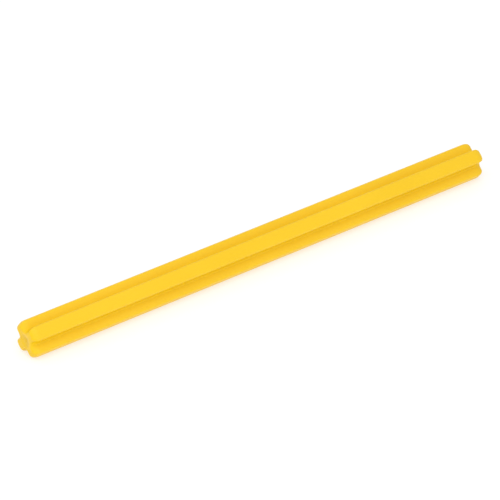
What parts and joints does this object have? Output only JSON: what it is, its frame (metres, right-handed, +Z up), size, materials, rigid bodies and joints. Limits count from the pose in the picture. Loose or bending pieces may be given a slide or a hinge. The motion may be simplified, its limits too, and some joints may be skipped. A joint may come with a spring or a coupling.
{
  "type": "cross axle",
  "caption": "Straight moulded plastic shaft of cross-shaped section with rounded ends, which carries and turns the wheels and gears of a construction toy.",
  "frame": {"origin": "on the axle's axis, halfway along it", "axes": "+X along the axle, from the end with the gate mark to the plain end; +Z up as it lies on a table on two of its rib tips, so its ribs point along +Y+Z, -Y+Z, -Y-Z and +Y-Z"},
  "size_m": [0.072, 0.0044, 0.0044],
  "materials": {
    "yellow_plastic": "gloss"
  },
  "bodies": {
    "root": {"cross_axle": "yellow_plastic"}
  },
  "joints": []
}
